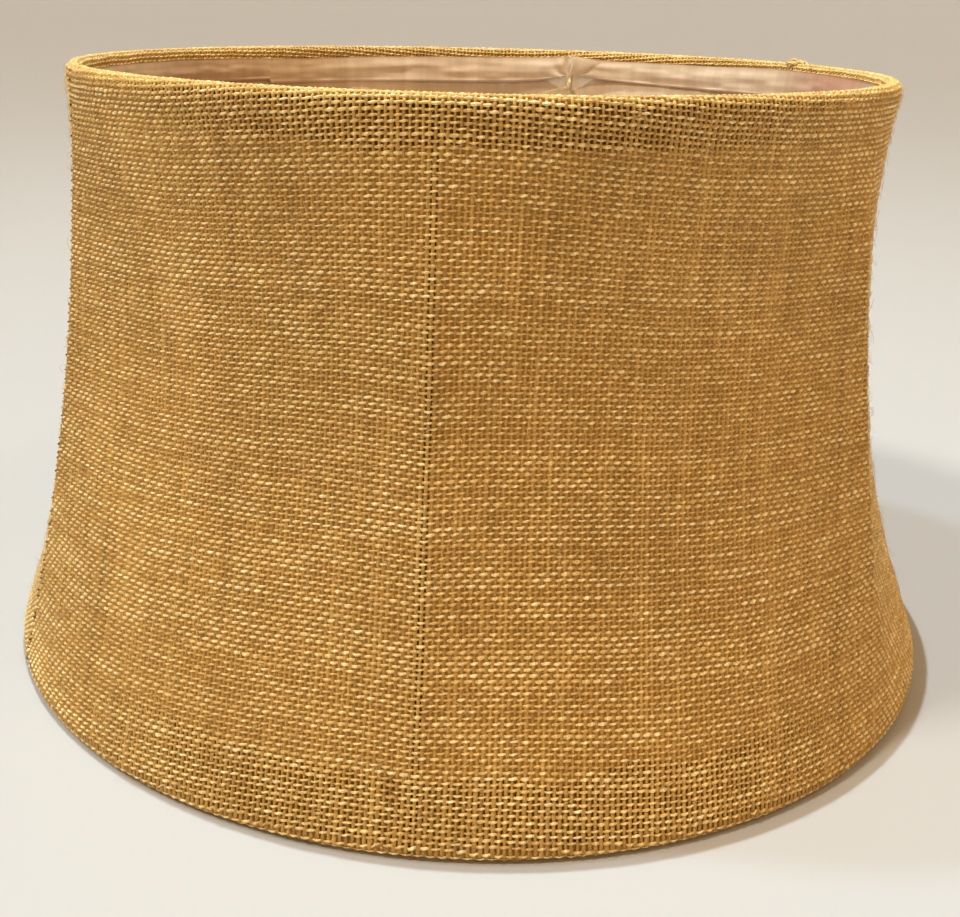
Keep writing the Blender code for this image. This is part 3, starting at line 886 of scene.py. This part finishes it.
def add_camera():
    """Camera as a hand held it: a little above the shade and almost level, with the view shifted down."""
    distance, height = 0.5913, 0.2847
    round_it, yaw, pitch, roll = (math.radians(angle) for angle in (4.4, -1.48, 10.90, 1.30))
    forward = Vector((math.sin(yaw) * math.cos(pitch), math.cos(yaw) * math.cos(pitch), -math.sin(pitch)))
    side = Vector((math.cos(yaw), -math.sin(yaw), 0))
    up = side.cross(forward)
    right = math.cos(roll) * side + math.sin(roll) * up
    up = math.cos(roll) * up - math.sin(roll) * side
    turn = Matrix.Rotation(round_it, 4, "Z")
    basis = Matrix((right, up, -forward)).transposed().to_4x4()
    data = bpy.data.cameras.new("camera")
    data.sensor_width = 36
    data.lens = 48.44
    data.shift_x, data.shift_y = 0.0385, -0.2255
    data.clip_start = 0.01
    camera = bpy.data.objects.new("camera", data)
    camera.matrix_world = turn @ Matrix.Translation((0, -distance, height)) @ basis
    bpy.context.scene.collection.objects.link(camera)
    bpy.context.scene.camera = camera


def add_floor():
    """A pale floor, a hair below the hem. It curves up far away, lowest towards the fill light."""
    radii = np.concatenate(([0.0, 1.0, 3.0], np.linspace(FLAT_FLOOR_RADIUS, FLOOR_RADIUS, 14)))
    columns = 96
    azimuth = np.linspace(0, TURN, columns, endpoint=False)
    edge = 21.5 - 6.5 * np.cos(azimuth - 0.36)
    curved = np.clip(radii[1:, None] - FLAT_FLOOR_RADIUS, 0, None) / (FLOOR_RADIUS - FLAT_FLOOR_RADIUS)
    heights = edge * curved**2 - FLOOR_GAP
    rings = cylinder_points(azimuth[None, :], radii[1:, None], heights)
    bottom = cylinder_points(azimuth[None, :], np.full((1, 1), 1e-4), np.full((1, 1), -FLOOR_GAP))
    points = np.concatenate((bottom, rings)).reshape(-1, 3)
    quads = grid_quads(len(radii), columns, wrap=True)
    floor = make_mesh("floor", points, quads, floor_material())


def set_world(colour, strength):
    world = bpy.data.worlds.new("studio")
    world.use_nodes = True
    background = world.node_tree.nodes["Background"]
    background.inputs["Color"].default_value = (*colour, 1)
    background.inputs["Strength"].default_value = strength
    bpy.context.scene.world = world


def repaint(name, material):
    for material_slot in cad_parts[name].material_slots:
        material_slot.link = "OBJECT"
        material_slot.material = material


def dress_cover(name, reference, seed, burlap, fibre, backing_cloth):
    """One half of the cover: its threads, and the backing that shows between them."""
    pieces = weave_half(name, reference, seed, burlap)
    pieces.append(fuzz_half(f"{name}_fuzz", reference + SEAM, seed + 9, fibre))
    if SEAM <= RIM_LOOPS_AZIMUTH - reference <= SEAM + math.pi:
        pieces.append(rim_loops(f"{name}_yarn_ends", RIM_LOOPS_AZIMUTH, fibre))
    backing = backing_half(f"{name}_backing", reference + SEAM, backing_cloth)
    for piece in [backing, *pieces]:
        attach(piece, "root")
        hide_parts(name)
    flat = (half_width(SPAN), SPAN)
    half_area()


def dress_lining(satin):
    """The lining's halves, the bands over its edges and the neateners, one at a time."""
    for name, start in (("lining_front", SEAM), ("lining_back", SEAM + math.pi)):
        piece = lining_half(f"{name}_satin", start, satin)
        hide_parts(name)
        half_width(SPAN)
        half_area()
        yield piece
    band = top_band("lining_top_band_satin", satin)
    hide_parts("lining_top_band")
    yield band
    band = bottom_band("lining_bottom_band", satin)
    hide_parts("lining_bottom_band")
    yield band
    for index, arm in enumerate(ARM_AZIMUTHS):
        name = f"arm_neatener_{index + 1}"
        piece = neatener(name, arm, satin)
        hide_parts(name)
        yield piece


def main():
    burlap = burlap_material()
    fibre = fibre_material()
    backing_cloth = backing_material()
    satin = satin_material()
    steel = wire_material("dark_wire", (0.10, 0.075, 0.05), (0.30, 0.24, 0.17), 0.5)
    brass = wire_material("brass_wire", (0.92, 0.78, 0.46), (1.0, 0.94, 0.68), 0.34)

    dress_cover("cover_front", 0.0, 100, burlap, fibre, backing_cloth)
    dress_cover("cover_back", math.pi, 200, burlap, fibre, backing_cloth)
    for piece in dress_lining(satin):
        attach(piece, "root")
    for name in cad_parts:
        if name.startswith(("rib", "top_ring", "bottom_ring")):
            repaint(name, steel)
        elif name.startswith("spider"):
            repaint(name, brass)

    add_floor()
    add_camera()
    set_world((1.0, 0.675, 0.325), 0.42)
    add_ceiling_lamp((-0.030, 0.014, 1.95), 122, (0.80, 0.97, 1.0))
    add_sun("key", (-0.98, 0.08, 1.78), 4, 0.95, (0.5, 0.8, 1.0))
    add_sun("front", (-0.80, -0.45, 1.3), 8, 1.70, (1.0, 0.98, 0.82))
    add_sun("fill", (0.38, -1.0, 0.5), 30, 0.66, (1.0, 0.66, 0.26))
    add_sun("right", (0.8, -0.35, 1.5), 16, 0.38, (1.0, 0.84, 0.58))
    bpy.context.scene.view_settings.view_transform = "Standard"


main()
